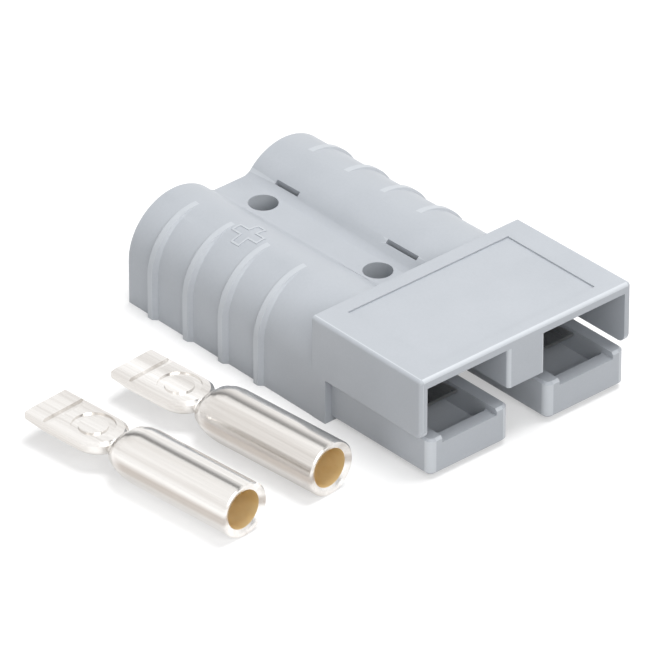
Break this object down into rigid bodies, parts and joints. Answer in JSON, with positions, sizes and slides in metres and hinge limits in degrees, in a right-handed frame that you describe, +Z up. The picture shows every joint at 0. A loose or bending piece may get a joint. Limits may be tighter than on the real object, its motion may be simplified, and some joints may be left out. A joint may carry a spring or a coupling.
{
  "type": "genderless power connector",
  "caption": "Flat genderless power connector: moulded twin barrel housing with open trays, leaf springs, and loose crimp contacts beside it.",
  "frame": {"origin": "midway between the two mounting holes, on the underside", "axes": "+X towards the mating end, +Z up through the mounting holes, +Y to the left seen from behind"},
  "size_m": [0.0589, 0.0686, 0.0154],
  "materials": {
    "housing": "satin moulded polycarbonate",
    "spring": "rolled stainless strip",
    "contact": "silver plated copper"
  },
  "bodies": {
    "root": {"housing": "housing", "left_spring": "spring", "right_spring": "spring", "inner_contact": "contact", "outer_contact": "contact"}
  },
  "joints": []
}
